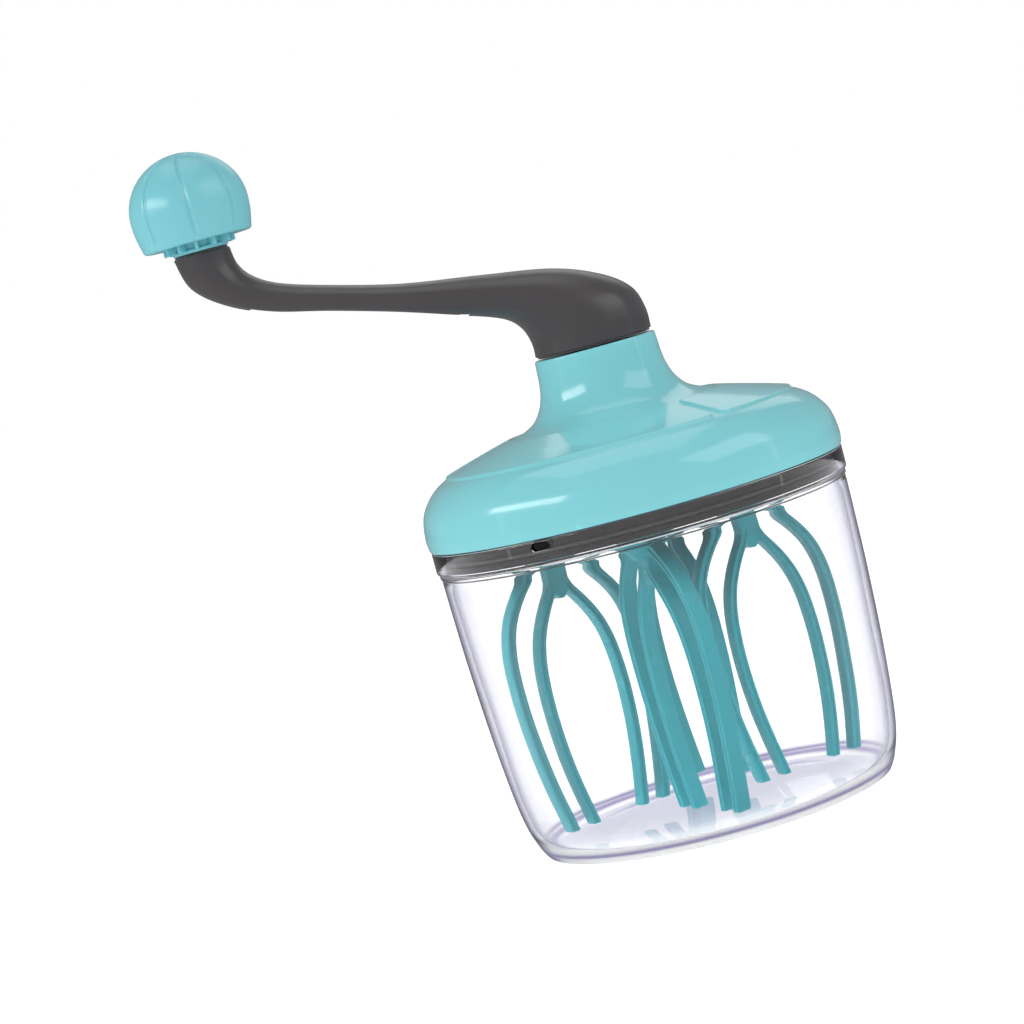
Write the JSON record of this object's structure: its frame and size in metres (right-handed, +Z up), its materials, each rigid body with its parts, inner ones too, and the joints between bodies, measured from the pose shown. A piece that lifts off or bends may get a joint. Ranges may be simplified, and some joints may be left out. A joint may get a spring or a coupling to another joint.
{
  "type": "egg beater",
  "caption": "Hand-cranked bowl beater: a clear round container under a geared lid whose crank spins flat whisks through the bowl.",
  "frame": {"origin": "middle of the container's flat underside", "axes": "+Z up along the container, lid and drive shaft; the crank's arm points to -X at rest"},
  "size_m": [0.2049, 0.14, 0.2561],
  "materials": {
    "clear_plastic": "clear moulded plastic, polished",
    "teal_plastic": "glossy moulded teal",
    "whisk_plastic": "satin moulded deep teal",
    "grey_plastic": "satin dark warm grey",
    "seal_rubber": "soft matt seal",
    "bearing_plastic": "natural off-white acetal",
    "steel": "zinc-bright steel"
  },
  "bodies": {
    "container": {"container": "clear_plastic"},
    "lid": {"lid_cover": "teal_plastic", "gear_plate": "grey_plastic", "rim_seal": "seal_rubber", "neck_bush": "bearing_plastic", "lid_screw_1": "steel", "lid_screw_2": "steel", "lid_screw_3": "steel", "lid_screw_4": "steel", "bush_left": "bearing_plastic", "bush_right": "bearing_plastic", "bush_front": "bearing_plastic", "bush_back": "bearing_plastic"},
    "crank": {"crank_arm": "grey_plastic", "crank_cover": "grey_plastic", "drive_shaft": "steel", "drive_gear": "bearing_plastic", "gear_washer": "steel", "gear_screw": "steel", "hub_washer": "steel", "knob_pin": "steel"},
    "knob": {"knob_shell": "teal_plastic", "knob_core": "teal_plastic"},
    "whisk_left": {"pinion_left": "bearing_plastic", "clip_left": "steel", "whisk_left": "whisk_plastic"},
    "whisk_right": {"pinion_right": "bearing_plastic", "clip_right": "steel", "whisk_right": "whisk_plastic"},
    "whisk_front": {"pinion_front": "bearing_plastic", "clip_front": "steel", "whisk_front": "whisk_plastic"},
    "whisk_back": {"pinion_back": "bearing_plastic", "clip_back": "steel", "whisk_back": "whisk_plastic"}
  },
  "joints": [
    {"name": "lid_lift", "type": "slide", "parent": "container", "child": "lid", "axis": [0, 0, 1], "range_m": [0, 0.12]},
    {"name": "crank_spin", "type": "hinge", "parent": "lid", "child": "crank", "pos_m": [0, 0, 0.161], "axis": [0, 0, 1], "continuous": true},
    {"name": "knob_spin", "type": "hinge", "parent": "crank", "child": "knob", "pos_m": [-0.1153, 0, 0.2375], "axis": [0, 0, 1], "continuous": true},
    {"name": "whisk_left_spin", "type": "hinge", "parent": "lid", "child": "whisk_left", "pos_m": [-0.0324, 0.00255, 0.113], "axis": [0, 0, 1], "continuous": true},
    {"name": "whisk_right_spin", "type": "hinge", "parent": "lid", "child": "whisk_right", "pos_m": [0.0324, -0.00255, 0.113], "axis": [0, 0, 1], "continuous": true},
    {"name": "whisk_front_spin", "type": "hinge", "parent": "lid", "child": "whisk_front", "pos_m": [-0.00255, -0.0324, 0.113], "axis": [0, 0, 1], "continuous": true},
    {"name": "whisk_back_spin", "type": "hinge", "parent": "lid", "child": "whisk_back", "pos_m": [0.00255, 0.0324, 0.113], "axis": [0, 0, 1], "continuous": true}
  ],
  "couplings": [
    {"joint": "whisk_left_spin", "follows": "crank_spin", "ratio": -2.8235},
    {"joint": "whisk_right_spin", "follows": "crank_spin", "ratio": -2.8235},
    {"joint": "whisk_front_spin", "follows": "crank_spin", "ratio": -2.8235},
    {"joint": "whisk_back_spin", "follows": "crank_spin", "ratio": -2.8235}
  ]
}
